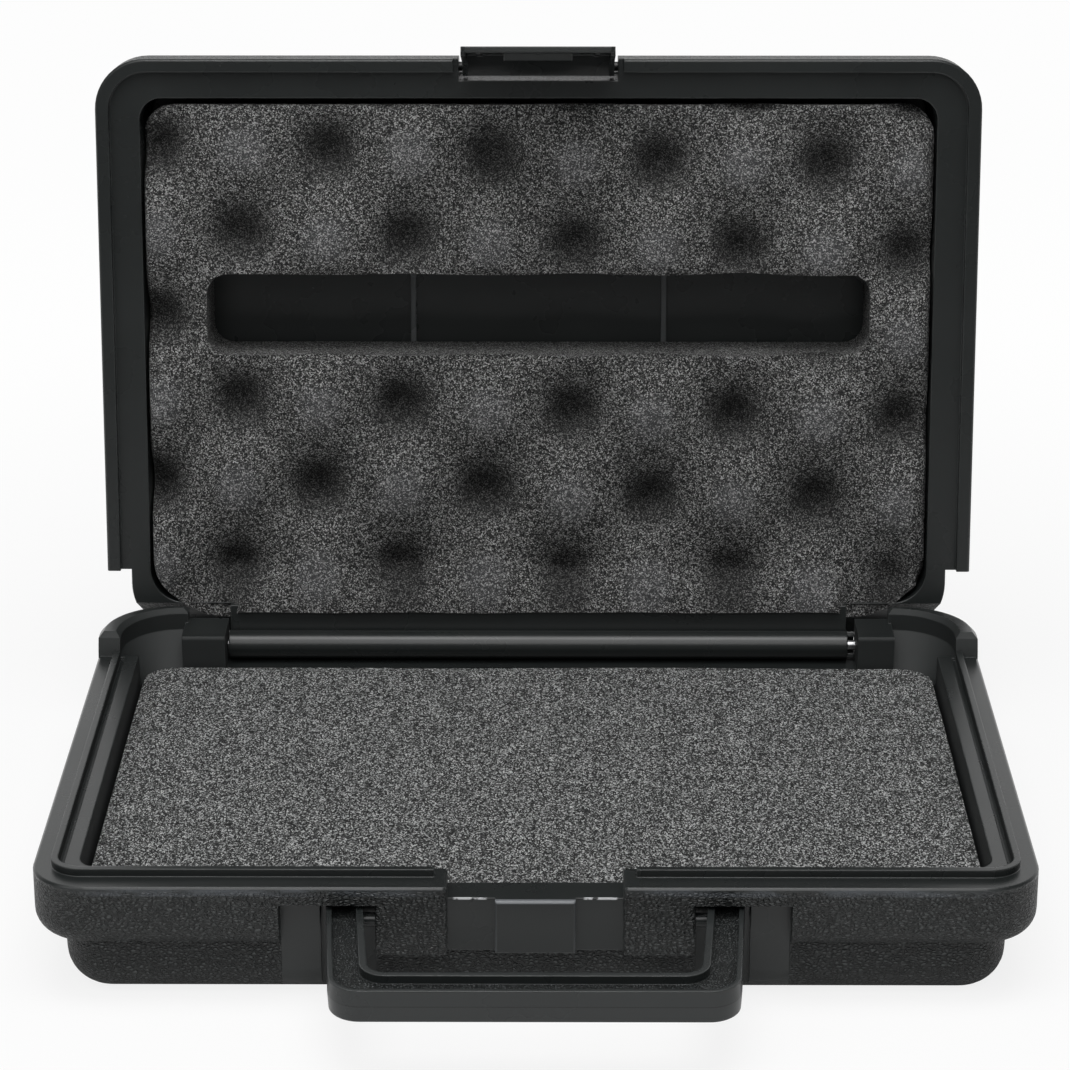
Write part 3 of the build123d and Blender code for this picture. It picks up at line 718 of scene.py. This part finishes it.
def lid_foam_up(x, back):
    """Depth of the lid foam's face: dimpled, and worn at its cut edges."""
    wave = dimple(x, back)
    sink = dimple_depth * (gentle_share * wave + steep_share * wave ** 7) - 1.2 * MM
    edge = lid_foam_plan.depth(x, back)
    slot_edge = -slot_plan.depth(x, back)
    worn = max(0.0, 1.0 - max(0.0, min(edge, slot_edge)) / (1.8 * MM)) ** 2
    swell = 0.5 * MM * ripple(x, back, 33 * MM, 2.1)
    return lid_foam_face + sink + 0.7 * MM * worn + swell


def over_barrel(x):
    """1 over the hinge barrel and 0 beside its ends."""
    return 1.0 - smooth_step(abs(x), barrel_side - foam_side_step, barrel_side)


def lid_foam_front(x, back):
    """Face of the lid foam, bulging over the hinge wall and wavy along its sides."""
    up = lid_foam_up(x, back)
    over = over_barrel(x)
    near_hinge = 1.0 - smooth_step(lid_foam_hinge_edge - back, 0.0, bulge_run)
    clear_of_corner = 1.0 - smooth_step(abs(x), *bulge_end)
    reach = over * bulge_over_barrel + (1.0 - over) * bulge_beside_barrel * clear_of_corner
    reach += 0.5 * MM * ripple(x, 0.0, 26 * MM, 5.5) * over
    bulge_up = over * bulge_up_over_barrel + (1.0 - over) * bulge_up_beside_barrel
    up += near_hinge * (bulge_up - up)
    near_side = 1.0 - smooth_step(lid_foam_side - abs(x), 0.0, side_run)
    drawn_in = drawn_in_right if x > 0 else drawn_in_left
    drawn_in += side_wave * ripple(0.0, back, 31 * MM, 3.3 if x > 0 else 9.1)
    x -= near_side * max(0.0, drawn_in) * (1 if x > 0 else -1)
    return lid_point(x, back + near_hinge ** 3 * reach, up)


def lid_foam_shoulder(x, back):
    """Where the sides of the lid foam tuck in behind its face."""
    if back < lid_foam_hinge_edge - 6 * MM:
        return lid_point(x, back, max(lid_foam_face + 4 * MM, lid_foam_up(x, back) + 1.5 * MM))
    return lid_point(x, back, shoulder_beside_barrel - over_barrel(x) * shoulder_drop_over_barrel)


def lid_foam_rear(x, back):
    """Flat back of the lid foam, a little smaller than its face."""
    if slot_plan.depth(x, back) > -1.0 * MM:
        return lid_point(x, back, lid_foam_back)
    share = (lid_foam_side - lid_foam_back_inset) / lid_foam_side
    middle = (lid_foam_latch_edge + lid_foam_hinge_edge) / 2
    half = (lid_foam_hinge_edge - lid_foam_latch_edge) / 2
    shrink = (half - lid_foam_back_inset) / half
    return lid_point(x * share, middle + (back - middle) * shrink, lid_foam_back)


def lid_foam_pad():
    """Egg-crate foam with its long slot."""
    pad = foam_pad(
        "lid_foam_pad", lid_foam_plan, slot_plan, 2.0 * MM,
        lid_foam_front, lid_foam_shoulder, lid_foam_rear, lid_foam_finish, dimple,
    )
    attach(pad, "lid")
    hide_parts("lid_foam")


def base_foam_block():
    """Flat foam in the base, its cut top edge a little soft."""
    low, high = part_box("base_foam")
    plan = RoundedBox(low.x, high.x, low.y, high.y, 6 * MM, 10 * MM)

    def top(x, y):
        worn = max(0.0, 1.0 - max(0.0, plan.depth(x, y)) / (1.4 * MM)) ** 2
        return Vector((x, y, high.z + 0.35 * MM * ripple(x, y, 70 * MM, 4.2) - 0.5 * MM * worn))

    block = foam_pad(
        "base_foam_block", plan, None, 4.0 * MM, top,
        lambda x, y: Vector((x, y, high.z - 6 * MM)), lambda x, y: Vector((x, y, low.z)), base_foam_finish,
        lambda x, y: plain_hollow,
    )
    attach(block, "base")
    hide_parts("base_foam")


def barrel_end_lip():
    """Half-round lip at the barrel's right end, moulded with the lid, that closes the gap behind the pin."""
    mesh = bmesh.new()
    first, last = lip_turns
    rings = []
    for k in range(lip_steps + 1):
        turn = radians(first + (last - first) * k / lip_steps)
        rings.append([
            mesh.verts.new(hinge + Vector((x, radius * cos(turn), radius * sin(turn))))
            for x, radius in (
                (lip_start, lip_inner), (lip_end, lip_inner), (lip_end, lip_outer), (lip_start, lip_outer),
            )
        ])
    for ring, following in zip(rings, rings[1:]):
        for k in range(4):
            after = (k + 1) % 4
            mesh.faces.new((ring[k], ring[after], following[after], following[k]))
    mesh.faces.new(rings[0])
    mesh.faces.new(list(reversed(rings[-1])))
    bmesh.ops.recalc_face_normals(mesh, faces=mesh.faces)
    lip = add_smooth_mesh("barrel_end_lip", mesh, lid_plastic)
    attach(lip, "lid")


lid_foam_pad()
base_foam_block()
barrel_end_lip()


# Studio

def soft_lamp(name, place, aim, size, power):
    """Large soft lamp aimed at a point."""
    data = bpy.data.lights.new(name, "AREA")
    data.shape = "RECTANGLE"
    data.size, data.size_y = size
    data.energy = power
    lamp = add_object(name, data)
    lamp.location = place
    lamp.rotation_euler = (Vector(aim) - Vector(place)).to_track_quat("-Z", "Y").to_euler()


def studio_world():
    """White surroundings behind the case, a dimmer room in front of it, and a low even light."""
    world = bpy.data.worlds.new("studio")
    tree = empty_tree(world)
    path = tree.nodes.new("ShaderNodeLightPath")
    heading = tree.nodes.new("ShaderNodeTexCoord").outputs["Generated"]
    _, towards_back, _ = split(tree, heading)
    room = blend_colours(tree, ramp(tree, towards_back, 0.1, 0.7), (0.14, 0.14, 0.14, 1.0), white)
    ambient = put(tree, "ShaderNodeBackground", Color=white, Strength=0.16)
    mirrored = put(tree, "ShaderNodeBackground", Color=room, Strength=1.0)
    seen = put(tree, "ShaderNodeBackground", Color=white, Strength=1.0)
    glossy = put(
        tree, "ShaderNodeMixShader",
        i0=path.outputs["Is Glossy Ray"], i1=ambient.outputs[0], i2=mirrored.outputs[0],
    )
    direct = calc(tree, "MAXIMUM", path.outputs["Is Camera Ray"], path.outputs["Is Transmission Ray"])
    surface = put(tree, "ShaderNodeMixShader", i0=direct, i1=glossy.outputs[0], i2=seen.outputs[0])
    output = tree.nodes.new("ShaderNodeOutputWorld")
    tree.links.new(surface.outputs[0], output.inputs["Surface"])
    bpy.context.scene.world = world


def pale_floor():
    """Plain pale floor that keeps a soft shadow under the case."""
    material = bpy.data.materials.new("pale_floor")
    tree = empty_tree(material)
    glow = put(tree, "ShaderNodeEmission", Color=white, Strength=1.0)
    path = tree.nodes.new("ShaderNodeLightPath")
    place = tree.nodes.new("ShaderNodeTexCoord").outputs["Object"]
    distance = put(tree, "ShaderNodeVectorMath", {"operation": "LENGTH"}, i0=place).outputs["Value"]
    _, towards_back, _ = split(tree, place)
    behind = product(tree, path.outputs["Is Glossy Ray"], ramp(tree, towards_back, -0.1, 0.2))
    direct = calc(tree, "MAXIMUM", path.outputs["Is Camera Ray"], path.outputs["Is Transmission Ray"])
    direct = calc(tree, "MAXIMUM", direct, behind)
    sheet = blend_colours(tree, ramp(tree, distance, 0.5, 1.0), (0.92, 0.92, 0.92, 1.0), (0.2, 0.2, 0.2, 1.0))
    matt = put(tree, "ShaderNodeBsdfDiffuse", Color=sheet)
    whiteness = calc(tree, "MULTIPLY_ADD", ramp(tree, distance, 0.15, 0.6), 0.14, 0.84)
    share = product(tree, direct, whiteness)
    surface = put(tree, "ShaderNodeMixShader", i0=share, i1=matt.outputs[0], i2=glow.outputs[0])
    output = tree.nodes.new("ShaderNodeOutputMaterial")
    tree.links.new(surface.outputs[0], output.inputs["Surface"])
    mesh = bmesh.new()
    bmesh.ops.create_grid(mesh, x_segments=1, y_segments=1, size=4.0)
    floor = add_mesh("floor", mesh, material)
    floor.location.z = -0.2 * MM


def photo_camera():
    """Camera at the photograph's own viewing angle and framing."""
    data = bpy.data.cameras.new("photo_camera")
    data.sensor_fit = "HORIZONTAL"
    data.sensor_width = sensor_width
    data.lens = focal_length * sensor_width / photo_width
    camera = add_object("photo_camera", data)
    ahead = Vector((
        sin(camera_yaw) * cos(camera_pitch), cos(camera_yaw) * cos(camera_pitch), -sin(camera_pitch),
    ))
    level = Vector((cos(camera_yaw), -sin(camera_yaw), 0.0))
    down = ahead.cross(level)
    right = cos(camera_roll) * level + sin(camera_roll) * down
    down = cos(camera_roll) * down - sin(camera_roll) * level
    turned = Matrix((right, -down, -ahead)).transposed()
    camera.matrix_world = Matrix.Translation(camera_place) @ turned.to_4x4()
    bpy.context.scene.camera = camera


studio_world()
pale_floor()
soft_lamp("key", (-0.9, -0.7, 1.1), (0, 0.02, 0.08), (0.8, 0.8), 3.0)
soft_lamp("front", (0.0, -0.74, 1.15), (0, 0.02, 0.05), (0.7, 1.4), 8.0)
soft_lamp("top", (0.0, -0.2, 1.4), (0, 0.02, 0.03), (1.2, 0.6), 8.0)
photo_camera()
bpy.context.scene.view_settings.view_transform = "Standard"


def plain(corners):
    """Box corners as plain lists of numbers."""
    return [[float(value) for value in corner] for corner in corners]
